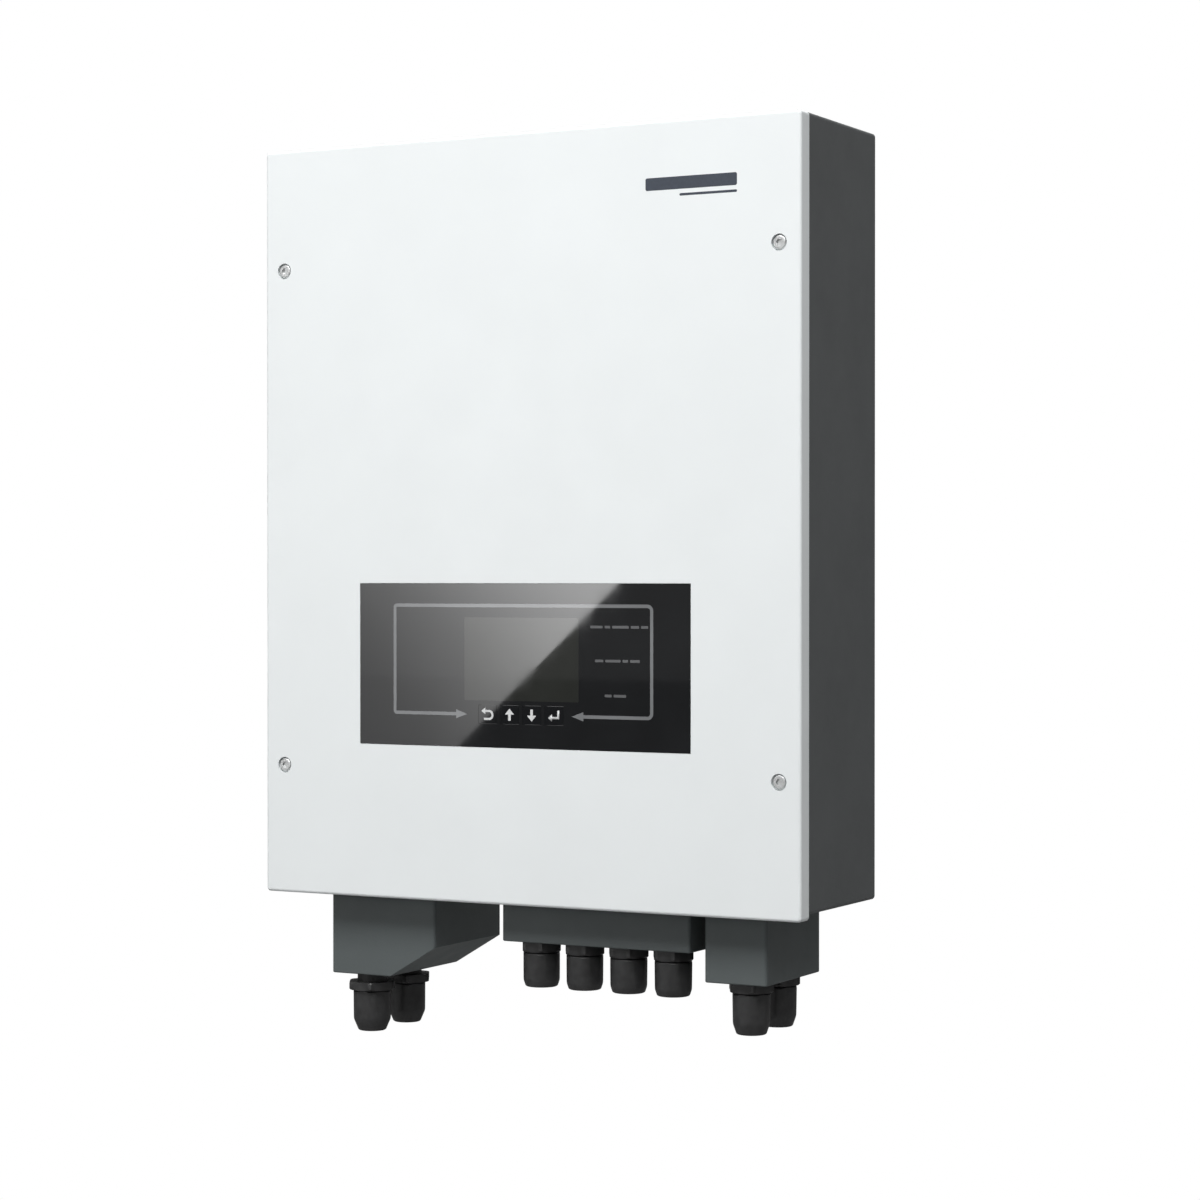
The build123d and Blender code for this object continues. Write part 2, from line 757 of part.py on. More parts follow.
def all_pieces():
    pieces = {
        "front_cover": front_cover(),
        "cover_screws": cover_screws(),
        "cover_gasket": cover_gasket(),
        "housing": housing(),
        "vent_valve": vent_valve(),
        "earth_terminal": earth_terminal(),
        "heat_sink": heat_sink(),
        "heat_sink_gasket": heat_sink_gasket(),
        "wall_bracket": wall_bracket(),
        "lock_screws": lock_screws(),
        "hanger_plate": hanger_plate(),
        "case_screws": case_screws(),
        "display_panel": display_panel(),
        "display_tape": display_tape(),
        "key_switches": key_switches(),
        "lcd_module": lcd_module(),
        "status_leds": status_leds(),
        "display_board": display_board(),
        "display_screws": display_screws(),
        "power_board": power_board(),
        "control_board": control_board(),
        "board_pillars": board_pillars(),
        "dc_link_capacitors": dc_link_capacitors(),
        "boost_inductors": boost_inductors(),
        "filter_chokes": filter_chokes(),
        "relays": relays(),
        "power_modules": power_modules(),
        "thermal_pads": thermal_pads(),
        "battery_terminals": battery_terminals(),
        "ac_terminals": ac_terminals(),
        "signal_terminals": signal_terminals(),
        "ribbon_cable": ribbon_cable(),
        "left_gland_box": gland_box("left", left_box_outline()),
        "middle_gland_box": gland_box("middle", plain_outline("middle")),
        "right_gland_box": gland_box("right", plain_outline("right")),
        "gland_box_gaskets": gland_box_gaskets(),
        "gland_lock_nuts": gland_lock_nuts(),
    }
    for name, x in zip(key_names, key_xs()):
        pieces[f"key_{name}"] = display_key(x)
    for box in gland_boxes():
        pieces[f"{box}_gland_bodies"] = gland_bodies(box)
    for gland in glands():
        pieces[f"{gland.name}_gland_nut"] = gland_floor(gland) * gland_nut(gland.size)
        pieces[f"{gland.name}_gland_seal"] = gland_floor(gland) * gland_seal(gland.size)
    return pieces


def place_on_wall(shape):
    return Pos(0, -wall_distance, -bracket_height) * shape


def main():
    os.makedirs("parts", exist_ok=True)
    for name, shape in all_pieces().items():
        export_step(place_on_wall(shape), f"parts/{name}.step")


main()
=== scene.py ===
import json
from math import cos, pi, radians, sin, tau

import bmesh
import bpy
from mathutils import Matrix, Vector


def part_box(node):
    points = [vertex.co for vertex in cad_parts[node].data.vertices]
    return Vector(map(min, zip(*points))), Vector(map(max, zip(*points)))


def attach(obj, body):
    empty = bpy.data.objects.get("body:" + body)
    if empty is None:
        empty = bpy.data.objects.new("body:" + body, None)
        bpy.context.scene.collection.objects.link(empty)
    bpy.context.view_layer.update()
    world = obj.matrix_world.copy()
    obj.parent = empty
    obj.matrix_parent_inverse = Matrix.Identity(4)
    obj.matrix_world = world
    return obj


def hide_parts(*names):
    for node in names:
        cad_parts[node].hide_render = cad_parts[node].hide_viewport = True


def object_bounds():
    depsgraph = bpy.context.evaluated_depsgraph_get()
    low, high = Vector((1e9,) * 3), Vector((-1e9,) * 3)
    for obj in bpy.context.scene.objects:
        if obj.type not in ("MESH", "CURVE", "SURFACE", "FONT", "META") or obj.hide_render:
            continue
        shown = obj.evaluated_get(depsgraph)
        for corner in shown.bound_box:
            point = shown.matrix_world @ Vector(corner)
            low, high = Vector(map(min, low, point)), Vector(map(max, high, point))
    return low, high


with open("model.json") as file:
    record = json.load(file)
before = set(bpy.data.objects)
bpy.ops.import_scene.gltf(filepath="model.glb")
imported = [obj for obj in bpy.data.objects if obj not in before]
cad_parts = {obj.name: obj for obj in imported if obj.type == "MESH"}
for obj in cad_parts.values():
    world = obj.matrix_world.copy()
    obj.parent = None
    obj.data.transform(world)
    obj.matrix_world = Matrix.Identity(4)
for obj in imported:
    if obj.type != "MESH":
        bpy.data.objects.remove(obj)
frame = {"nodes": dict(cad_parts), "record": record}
cad_box = [list(corner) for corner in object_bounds()]
nodes = frame["nodes"]
MM = 0.001

# Where the object's parts are, from the frame
panel_low, panel_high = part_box("display_panel")
cover_low, cover_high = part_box("front_cover")
PANEL_FACE = panel_low.y                      # front of the display panel
COVER_FACE = cover_low.y
COVER_MIDDLE = (cover_low.z + cover_high.z) / 2
PRINT = 0.02 * MM                             # thickness of printed ink


# Camera: the view from the front right, nearly level

def make_camera():
    yaw, pitch = radians(28.33), radians(-0.426)
    from_cover = Vector((0.9518, -1.6571, -0.0379))    # from the middle of the cover's face
    camera = bpy.data.cameras.new("camera")
    camera.sensor_width = 36.0
    camera.lens = 88.73
    camera.clip_end = 50.0
    rig = bpy.data.objects.new("camera", camera)
    rig.location = Vector((0, COVER_FACE, COVER_MIDDLE)) + from_cover
    rig.rotation_euler = (pi / 2 + pitch, 0, yaw)
    bpy.context.scene.collection.objects.link(rig)
    bpy.context.scene.camera = rig


# Materials

class Shader:
    """A node material under construction, with short calls for the nodes that it uses."""

    def __init__(self, name, colour, roughness, metallic=0.0):
        self.material = bpy.data.materials.new(name)
        self.material.use_nodes = True
        self.tree = self.material.node_tree
        self.tree.nodes.clear()
        self.surface = self.tree.nodes.new("ShaderNodeBsdfPrincipled")
        self.output = self.tree.nodes.new("ShaderNodeOutputMaterial")
        self.tree.links.new(self.surface.outputs[0], self.output.inputs[0])
        self.place = self.tree.nodes.new("ShaderNodeTexCoord").outputs["Object"]
        self.surface.inputs["Base Color"].default_value = (*colour, 1.0)
        self.surface.inputs["Roughness"].default_value = roughness
        self.surface.inputs["Metallic"].default_value = metallic

    def node(self, kind, **settings):
        made = self.tree.nodes.new("ShaderNode" + kind)
        for key, value in settings.items():
            setattr(made, key, value)
        return made

    def link(self, source, target):
        self.tree.links.new(source, target)

    def stretched(self, scale):
        mapping = self.node("Mapping")
        mapping.inputs["Scale"].default_value = scale
        self.link(self.place, mapping.inputs["Vector"])
        return mapping.outputs["Vector"]

    def noise(self, size, detail=2.0, stretch=None):
        """Noise whose features are about size metres across."""
        made = self.node("TexNoise")
        made.inputs["Scale"].default_value = 1.0 / size
        made.inputs["Detail"].default_value = detail
        self.link(self.stretched(stretch) if stretch else self.place, made.inputs["Vector"])
        return made.outputs["Fac"]

    def cells(self, size, output="Distance"):
        """Cells about size metres across."""
        made = self.node("TexVoronoi")
        made.inputs["Scale"].default_value = 1.0 / size
        self.link(self.place, made.inputs["Vector"])
        return made.outputs[output]

    def spread(self, source, low, high, start=0.3, end=0.7):
        """Maps a 0 to 1 pattern onto another range."""
        made = self.node("MapRange")
        for name, value in zip(("From Min", "From Max", "To Min", "To Max"), (start, end, low, high)):
            made.inputs[name].default_value = value
        self.link(source, made.inputs["Value"])
        return made.outputs["Result"]

    def tint(self, source, first, second, start=0.3, end=0.7):
        """Runs between two colours as the pattern goes from start to end."""
        ramp = self.node("ValToRGB")
        ramp.color_ramp.elements[0].position = start
        ramp.color_ramp.elements[0].color = (*first, 1.0)
        ramp.color_ramp.elements[1].position = end
        ramp.color_ramp.elements[1].color = (*second, 1.0)
        self.link(source, ramp.inputs["Fac"])
        return ramp.outputs["Color"]

    def paint(self, source):
        self.link(source, self.surface.inputs["Base Color"])

    def rough(self, source):
        self.link(source, self.surface.inputs["Roughness"])

    def bump(self, source, height, strength=1.0, after=None):
        made = self.node("Bump")
        made.inputs["Strength"].default_value = strength
        made.inputs["Distance"].default_value = height
        self.link(source, made.inputs["Height"])
        if after is not None:
            self.link(after, made.inputs["Normal"])
        self.link(made.outputs["Normal"], self.surface.inputs["Normal"])
        return made.outputs["Normal"]


def shaded(colour, factor):
    return tuple(channel * factor for channel in colour)


def powder_coat(name, colour, roughness, grain, depth, mottle):
    """Baked powder paint: a soft orange peel with a finer grain, and slight clouds of tone."""
    shader = Shader(name, colour, roughness)
    clouds = shader.noise(60 * MM, 3.0)
    shader.paint(shader.tint(clouds, shaded(colour, 1 - mottle), shaded(colour, 1 + mottle)))
    shader.rough(shader.spread(shader.noise(25 * MM, 4.0), roughness - 0.04, roughness + 0.05))
    peel = shader.bump(shader.noise(grain * 3.5, 1.0), depth * 2.2, 0.6)
    shader.bump(shader.noise(grain, 3.0), depth, 0.8, after=peel)
    return shader.material


def gloss_panel(name, colour, index=1.49):
    """Polished acrylic with a trace of handling marks, black or over a printed tone."""
    shader = Shader(name, colour, 0.03)
    haze = shader.noise(18 * MM, 5.0)
    shader.rough(shader.spread(haze, 0.018, 0.045, 0.35, 0.75))
    shader.paint(shader.tint(shader.noise(40 * MM, 2.0), colour, shaded(colour, 1.35)))
    shader.bump(shader.noise(35 * MM, 1.0), 0.002 * MM, 0.3)
    shader.surface.inputs["IOR"].default_value = index
    return shader.material


def moulded(name, colour, roughness, grain=0.35 * MM, depth=0.018 * MM):
    """Moulded nylon or rubber: spark-eroded grain and faint flow clouds."""
    shader = Shader(name, colour, roughness)
    clouds = shader.noise(6 * MM, 3.0)
    shader.paint(shader.tint(clouds, shaded(colour, 0.8), shaded(colour, 1.3)))
    shader.rough(shader.spread(shader.noise(3 * MM, 2.0), roughness - 0.07, roughness + 0.08))
    shader.bump(shader.noise(grain, 3.0), depth, 0.7)
    return shader.material


def drawn_metal(name, colour, roughness, along, line=0.25 * MM):
    """Extruded or brushed metal: fine lines along one axis, with drifting roughness."""
    shader = Shader(name, colour, roughness, metallic=1.0)
    stretch = tuple(0.02 if axis == along else 1.0 for axis in "xyz")
    lines = shader.noise(line, 3.0, stretch=stretch)
    shader.paint(shader.tint(shader.noise(30 * MM, 3.0), shaded(colour, 0.86), shaded(colour, 1.06)))
    shader.rough(shader.spread(lines, roughness - 0.08, roughness + 0.12))
    shader.bump(lines, 0.02 * MM, 0.5)
    return shader.material


def zinc_plate(name, colour):
    """Zinc-coated sheet: angular spangle in tone and gloss."""
    shader = Shader(name, colour, 0.38, metallic=1.0)
    grey = shader.node("RGBToBW")
    shader.link(shader.cells(7 * MM, "Color"), grey.inputs["Color"])
    shader.paint(shader.tint(grey.outputs["Val"], shaded(colour, 0.82), shaded(colour, 1.08), 0.2, 0.8))
    shader.rough(shader.spread(grey.outputs["Val"], 0.3, 0.46, 0.2, 0.8))
    shader.bump(shader.noise(0.8 * MM, 4.0), 0.01 * MM, 0.5)
    return shader.material


def turned_metal(name, colour, roughness):
    """Screws and studs: small tumbling marks."""
    shader = Shader(name, colour, roughness, metallic=1.0)
    marks = shader.noise(0.7 * MM, 5.0)
    shader.paint(shader.tint(marks, shaded(colour, 0.8), shaded(colour, 1.08)))
    shader.rough(shader.spread(marks, roughness - 0.06, roughness + 0.1))
    shader.bump(marks, 0.01 * MM, 0.5)
    return shader.material


def circuit_board(name, colour):
    """Green solder mask over copper tracks, with vias."""
    shader = Shader(name, colour, 0.32)
    tracks = shader.node("TexBrick", offset=0.37, squash=0.7, squash_frequency=3)
    tracks.inputs["Scale"].default_value = 1.0 / (9 * MM)
    tracks.inputs["Mortar Size"].default_value = 0.06
    tracks.inputs["Color1"].default_value = (*colour, 1)
    tracks.inputs["Color2"].default_value = (*shaded(colour, 0.82), 1)
    tracks.inputs["Mortar"].default_value = (*shaded(colour, 1.7), 1)
    turned = shader.node("Mapping")
    turned.inputs["Rotation"].default_value = (pi / 2, 0, 0)
    shader.link(shader.place, turned.inputs["Vector"])
    shader.link(turned.outputs["Vector"], tracks.inputs["Vector"])
    shader.paint(tracks.outputs["Color"])
    shader.rough(shader.spread(shader.noise(4 * MM, 3.0), 0.26, 0.4))
    shader.bump(tracks.outputs["Fac"], 0.03 * MM, -0.6)
    return shader.material


def wound_copper(name, colour):
    """Enamelled wire wound round a ring core."""
    shader = Shader(name, colour, 0.3, metallic=0.6)
    wire = shader.node("TexWave", wave_type="RINGS", rings_direction="SPHERICAL")
    wire.inputs["Scale"].default_value = 1.0 / (6 * MM)
    wire.inputs["Distortion"].default_value = 0.6
    shader.link(shader.place, wire.inputs["Vector"])
    shader.paint(shader.tint(wire.outputs["Fac"], shaded(colour, 0.5), shaded(colour, 1.3)))
    shader.bump(wire.outputs["Fac"], 0.2 * MM, 0.6)
    return shader.material


def display_glass(name, colour):
    """Glass over the faint dots of a liquid crystal."""
    shader = Shader(name, colour, 0.12)
    dots = shader.cells(0.6 * MM)
    shader.paint(shader.tint(dots, shaded(colour, 0.85), shaded(colour, 1.1), 0.1, 0.6))
    shader.rough(shader.spread(shader.noise(10 * MM, 3.0), 0.08, 0.16))
    return shader.material


def ink(name, colour):
    """Screen-printed ink, slightly uneven in tone."""
    shader = Shader(name, colour, 0.42)
    shader.paint(shader.tint(shader.noise(1.5 * MM, 4.0), shaded(colour, 0.9), shaded(colour, 1.05)))
    shader.rough(shader.spread(shader.noise(0.8 * MM, 2.0), 0.36, 0.5))
    shader.bump(shader.noise(0.3 * MM, 2.0), 0.004 * MM, 0.5)
    return shader.material


def make_materials():
    return {
        "white_coat": powder_coat("white_coat", (0.80, 0.83, 0.835), 0.42, 0.9 * MM, 0.012 * MM, 0.012),
        "dark_coat": powder_coat("dark_coat", (0.092, 0.098, 0.100), 0.55, 0.55 * MM, 0.03 * MM, 0.05),
        "box_coat": powder_coat("box_coat", (0.089, 0.103, 0.104), 0.52, 0.55 * MM, 0.03 * MM, 0.06),
        "bare_aluminium": drawn_metal("bare_aluminium", (0.60, 0.61, 0.63), 0.36, "z"),
        "zinc_steel": zinc_plate("zinc_steel", (0.58, 0.60, 0.62)),
        "screw_steel": turned_metal("screw_steel", (0.42, 0.43, 0.44), 0.36),
        "bright_screw": turned_metal("bright_screw", (0.74, 0.75, 0.75), 0.42),
        "brass_screw": turned_metal("brass_screw", (0.60, 0.45, 0.20), 0.32),
        "panel_black": gloss_panel("panel_black", (0.0095, 0.0100, 0.0108)),
        "window_tint": gloss_panel("window_tint", (0.019, 0.020, 0.018), 1.525),
        "key_black": gloss_panel("key_black", (0.0070, 0.0075, 0.0085)),
        "black_nylon": moulded("black_nylon", (0.026, 0.026, 0.0265), 0.46),
        "seal_rubber": moulded("seal_rubber", (0.030, 0.030, 0.031), 0.72, 0.5 * MM, 0.02 * MM),
        "grey_rubber": moulded("grey_rubber", (0.16, 0.16, 0.16), 0.7, 0.5 * MM, 0.02 * MM),
        "vent_black": moulded("vent_black", (0.03, 0.03, 0.031), 0.5),
        "part_black": moulded("part_black", (0.025, 0.025, 0.026), 0.45),
        "relay_blue": moulded("relay_blue", (0.05, 0.11, 0.28), 0.4),
        "terminal_green": moulded("terminal_green", (0.05, 0.28, 0.10), 0.42),
        "terminal_grey": moulded("terminal_grey", (0.24, 0.25, 0.26), 0.45),
        "ribbon_grey": moulded("ribbon_grey", (0.42, 0.43, 0.45), 0.45),
        "can_sleeve": moulded("can_sleeve", (0.03, 0.035, 0.06), 0.3),
        "led_lens": moulded("led_lens", (0.70, 0.71, 0.68), 0.2),
        "potted_case": drawn_metal("potted_case", (0.45, 0.46, 0.47), 0.45, "z"),
        "choke_core": wound_copper("choke_core", (0.40, 0.16, 0.07)),
        "board_green": circuit_board("board_green", (0.02, 0.13, 0.045)),
        "lcd_glass": display_glass("lcd_glass", (0.10, 0.12, 0.10)),
        "grey_ink": gloss_panel("grey_ink", (0.165, 0.170, 0.175)),
        "white_ink": ink("white_ink", (0.66, 0.67, 0.67)),
        "dim_ink": gloss_panel("dim_ink", (0.105, 0.107, 0.110)),
        "badge_ink": ink("badge_ink", (0.045, 0.055, 0.075)),
    }


# Nodes that look different from the rest of their slot
NODE_MATERIALS = {"cover_screws": "bright_screw"}


def dress_frame(materials):
    """Gives every node of the frame the material of its slot, and smooth shading with crisp corners."""
    slot_of = {part["node"]: part["material_slot"] for part in frame["record"]["subparts"]}
    for name, node in nodes.items():
        node.data.materials.clear()
        node.data.materials.append(materials[NODE_MATERIALS.get(name, slot_of[name])])
        crisp_corners(node.data)


def crisp_corners(mesh, angle=radians(32)):
    """Smooth faces, with edges sharper than the angle kept crisp."""
    mesh.polygons.foreach_set("use_smooth", [True] * len(mesh.polygons))
    shape = bmesh.new()
    shape.from_mesh(mesh)
    sharp = [len(edge.link_faces) != 2 or edge.calc_face_angle(0) > angle for edge in shape.edges]
    shape.free()
    mesh.edges.foreach_set("use_edge_sharp", sharp)


# Mesh pieces

def new_piece(name, vertices, faces, material, slot, body):
    mesh = bpy.data.meshes.new(name)
    mesh.from_pydata([tuple(v) for v in vertices], [], faces)
    mesh.validate()
    shape = bmesh.new()
    shape.from_mesh(mesh)
    bmesh.ops.recalc_face_normals(shape, faces=shape.faces)
    shape.to_mesh(mesh)
    shape.free()
    mesh.materials.append(material)
    crisp_corners(mesh)
    piece = bpy.data.objects.new(name, mesh)
    bpy.context.scene.collection.objects.link(piece)
    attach(piece, body)
    return piece


def slab(outline, depth, y):
    """A flat plate: an outline in X and Z, its front at y, as vertices and faces."""
    count = len(outline)
    vertices = [(x, y, z) for x, z in outline] + [(x, y + depth, z) for x, z in outline]
    faces = [list(range(count)), list(range(2 * count - 1, count - 1, -1))]
    faces += [[i, (i + 1) % count, count + (i + 1) % count, count + i] for i in range(count)]
    return vertices, faces


def joined(parts):
    """Several (vertices, faces) pairs as one."""
    vertices, faces = [], []
    for part_vertices, part_faces in parts:
        start = len(vertices)
        vertices += part_vertices
        faces += [[start + i for i in face] for face in part_faces]
    return vertices, faces


def rounded_bar(x, z, width, height, radius, steps=5):
    """Outline of a bar with rounded corners about a centre."""
    points = []
    for turn, (sx, sz) in enumerate(((1, 1), (-1, 1), (-1, -1), (1, -1))):
        cx, cz = x + sx * (width / 2 - radius), z + sz * (height / 2 - radius)
        for i in range(steps + 1):
            angle = pi / 2 * (turn + i / steps)
            points.append((cx + radius * cos(angle), cz + radius * sin(angle)))
    return points


def rounded_path(points, radii, steps=6):
    """A polyline in X and Z with its inner corners rounded, one radius for each."""
    path = [Vector(points[0])]
    for before, corner, after, radius in zip(points, points[1:], points[2:], radii):
        corner = Vector(corner)
        towards, away = (Vector(before) - corner).normalized(), (Vector(after) - corner).normalized()
        if radius == 0:
            path.append(corner)
            continue
        centre = corner + (towards + away) * radius
        for i in range(steps + 1):
            angle = pi / 2 * i / steps
            path.append(centre - away * radius * cos(angle) - towards * radius * sin(angle))
    path.append(Vector(points[-1]))
    return path


def stripe(points, width, radii=None):
    """A printed line: an outline of that width along a polyline in X and Z."""
    path = rounded_path(points, radii) if radii else [Vector(p) for p in points]
    left, right = [], []
    for i, point in enumerate(path):
        before = (point - path[i - 1]).normalized() if i > 0 else None
        after = (path[i + 1] - point).normalized() if i < len(path) - 1 else None
        run = ((before or after) + (after or before)).normalized()
        side = Vector((-run.y, run.x))
        reach = width / 2 / max(0.3, abs((after or before).cross(run) ** 2 - 1) ** 0.5)
        left.append(tuple(point + side * reach))
        right.append(tuple(point - side * reach))
    return left + right[::-1]


def printed(name, outlines, face_y, material, slot, body):
    """Ink on a face: flat outlines with the thickness of a print."""
    vertices, faces = joined([slab(outline, PRINT, face_y - PRINT) for outline in outlines])
    return new_piece(name, vertices, faces, material, slot, body)


# Graphics of the display

def panel_point(x, z):
    """A point on the panel, in millimetres from the panel's middle and its top edge."""
    return ((panel_low.x + panel_high.x) / 2 + x * MM, panel_high.z + z * MM)


def display_print(materials):
    """The frame line with its two arrows, the window's tint and the lamps' blank legends."""
    left, right, top, bottom, gap_left, gap_right = -95.6, 95.4, -14.4, -85.2, -40.0, 37.8
    line, head, head_half = 2.2 * MM, 8.5, 2.9
    dash_height, dash_gap = 1.7, 1.4
    first = [(gap_left - head, bottom), (left, bottom), (left, top), (0, top)]
    second = [(gap_right + head, bottom), (right, bottom), (right, top), (0, top)]
    outlines = [
        stripe([panel_point(*p) for p in first], line, (1.5 * MM, 1.5 * MM)),
        stripe([panel_point(*p) for p in second], line, (3 * MM, 3 * MM)),
    ]
    for tip, way in ((gap_left, -1), (gap_right, 1)):
        base = tip + way * head
        arrow = [(tip, bottom), (base, bottom + head_half), (base, bottom - head_half)]
        outlines.append([panel_point(*p) for p in arrow])
    printed("display_frame_print", outlines, PANEL_FACE, materials["grey_ink"], "panel_black", "inverter")
    window = rounded_bar(*panel_point(0.3, -49.1), 85 * MM, 54 * MM, 0.8 * MM)
    printed("lcd_window_print", [window], PANEL_FACE, materials["window_tint"], "panel_black", "inverter")
    legends = []
    rows = ((-27.7, 72.1, (9, 4, 12, 6, 5)), (-49.3, 70.9, (6, 11, 4, 7)), (-71.5, 69.5, (5, 9)))
    for z, x, dashes in rows:
        start = x - (sum(dashes) + dash_gap * (len(dashes) - 1)) / 2
        for dash in dashes:
            middle = panel_point(start + dash / 2, z)
            legends.append(rounded_bar(*middle, dash * MM, dash_height * MM, 0.5 * MM))
            start += dash + dash_gap
    printed("status_legend_print", legends, PANEL_FACE, materials["dim_ink"], "panel_black", "inverter")


def arc_points(centre, radius, start, end, steps=14):
    """Points along an arc, angles in degrees."""
    angles = [radians(start + (end - start) * i / steps) for i in range(steps + 1)]
    return [(centre[0] + radius * cos(a), centre[1] + radius * sin(a)) for a in angles]


def key_symbol(name):
    """Outlines of a key's symbol about its middle, in millimetres."""
    up = [(0, 4.0), (-3.4, 0.2), (3.4, 0.2)]
    stem = rounded_bar(0, -1.8, 1.9, 4.0, 0.2)
    if name == "up":
        return [up, stem]
    if name == "down":
        return [[(x, -z) for x, z in up], [(x, -z) for x, z in stem]]
    if name == "back":
        hook = stripe([(-1.6, 2.2)] + arc_points((1.2, -0.4), 2.6, 90, -90) + [(-2.6, -3.0)], 1.4)
        return [hook, [(-4.6, 2.2), (-1.6, 4.4), (-1.6, 0.0)]]
    tail = stripe([(3.2, 3.4), (3.2, -1.4), (-1.4, -1.4)], 1.5)
    return [tail, [(-4.4, -1.4), (-1.4, 1.0), (-1.4, -3.8)]]


def key_prints(materials):
    for name in ("back", "up", "down", "enter"):
        low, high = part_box(f"key_{name}")
        x, z = (low.x + high.x) / 2, (low.z + high.z) / 2
        outlines = [[(x + px * MM, z + pz * MM) for px, pz in outline] for outline in key_symbol(name)]
        printed(f"key_{name}_symbol", outlines, low.y, materials["white_ink"], "key_black", f"key_{name}")


def name_badge(materials):
    """A plain blank name bar near the cover's top right corner."""
    x, z = 0.123, COVER_MIDDLE + 0.2085
    bars = [rounded_bar(x, z + 1.5 * MM, 64 * MM, 8 * MM, 1.2 * MM)]
    bars.append(rounded_bar(x + 12 * MM, z - 6 * MM, 40 * MM, 1.6 * MM, 0.7 * MM))
    printed("blank_name_bar", bars, COVER_FACE, materials["badge_ink"], "white_coat", "inverter")


# Cable glands, drawn in millimetres

THREAD_PITCH = 1.5
THREAD_DEPTH = 0.5
NUT_GAP = 0.6                                 # between a flange and its tightened dome nut
MALE_SHARE = 0.785                            # male thread's radius for a nut's radius of 1
FLATS_SHARE = 0.94                            # the same for the nut's flats

# For each box, in millimetres: its glands' entry thread radius, neck length and flange corner radius, the
# dome nuts' radius at the mouth and length of taper, and the radius of cable that they take
GLAND_SHAPES = {
    "left": {"thread": 10.0, "neck": 6.0, "corner": 17.5, "tip": 9.4, "taper": 8.0, "cable": 6.5},
    "middle": {"thread": 10.0, "neck": 0.0, "corner": 14.5, "tip": 10.6, "taper": 4.5, "cable": 6.0},
    "right": {"thread": 10.0, "neck": 0.0, "corner": 15.75, "tip": 9.6, "taper": 7.0, "cable": 6.0},
}


def softened(points, radius, steps=4):
    """Rounds each corner of a closed profile of (radius, height, kind) where its sides leave room."""
    result = []
    for i, (r, z, kind) in enumerate(points):
        here = Vector((r, z))
        before = Vector(points[i - 1][:2]) - here
        after = Vector(points[(i + 1) % len(points)][:2]) - here
        cut = min(radius, before.length * 0.45, after.length * 0.45)
        first, last = here + before.normalized() * cut, here + after.normalized() * cut
        for k in range(steps + 1):
            t = k / steps
            point = first * (1 - t) ** 2 + here * 2 * t * (1 - t) + last * t ** 2
            result.append((point.x, point.y, kind))
    return result


def threaded_run(radius, start, end):
    """Points close enough together along Z for a thread to be cut into them."""
    count = max(2, int(abs(end - start) / (THREAD_PITCH / 7)))
    return [(radius, start + (end - start) * i / count, "thread") for i in range(count + 1)]


def hexagon_radius(angle, apothem):
    """Distance from the middle to the side of a hexagon with two of its corners along X."""
    return apothem / cos(angle % (pi / 3) - pi / 6)


def soft_least(a, b, blend):
    """The smaller of two values, with a round transition between them."""
    near = max(blend - abs(a - b), 0.0) / blend
    return min(a, b) - near * near * blend / 4


def turned(profile, shape, segments=90):
    """A closed profile turned about Z; shape(angle, radius, height, kind) gives each point's radius."""
    vertices, faces = [], []
    for radius, height, kind in profile:
        for i in range(segments):
            angle = tau * i / segments
            r = shape(angle, radius, height, kind)
            vertices.append((r * cos(angle), r * sin(angle), height))
    for j in range(len(profile)):
        a, b = j * segments, (j + 1) % len(profile) * segments
        faces += [[a + i, a + (i + 1) % segments, b + (i + 1) % segments, b + i] for i in range(segments)]
    return vertices, faces


def thread_cut(angle, height, start, end):
    """Depth of a right-hand thread, from 0 at its crest to 1 at its root, fading out at both ends."""
    phase = (height / THREAD_PITCH - angle / tau) % 1.0
    depth = min(1.0, max(0.0, abs(phase * 2 - 1) * 1.6 - 0.3))
    fade = min(1.0, abs(height - start) / 0.8, abs(height - end) / 0.8)
    return depth * fade


def gland_body(shape, flange_end, male_r):
    """Entry thread, neck, chamfered hexagonal flange, male thread and the cage round the seal."""
    neck, corner, foot = -shape["neck"], shape["corner"], -flange_end
    cage, cage_bore, entry = male_r - 0.5, male_r - 1.3, shape["cable"] + 1.0
    top = 10.5
    thread_start, thread_end = foot - 0.6, foot - 8.0
    profile = [(shape["thread"], top, "plain"), (shape["thread"], neck, "plain")]
    profile += [(corner - 0.9, neck, "flange"), (corner + 0.3, neck - 0.7, "flange")]
    profile += [(corner + 0.3, foot + 1.2, "flange"), (corner - 1.9, foot, "flange")]
    profile += [(male_r - THREAD_DEPTH, foot, "plain")]
    profile += threaded_run(male_r, thread_start, thread_end)
    profile += [(cage, foot - 8.0, "plain"), (cage, foot - 14.0, "plain"), (cage_bore, foot - 14.0, "plain")]
    profile += [(cage_bore, foot - 4.0, "plain"), (entry, foot - 4.0, "plain"), (entry, top, "plain")]

    def reshape(angle, radius, height, kind):
        if kind == "flange":
            return soft_least(radius, hexagon_radius(angle, corner * cos(pi / 6)), 0.3)
        if kind == "thread":
            return radius - THREAD_DEPTH * thread_cut(angle, height, thread_start, thread_end)
        return radius

    return turned(profile, reshape)


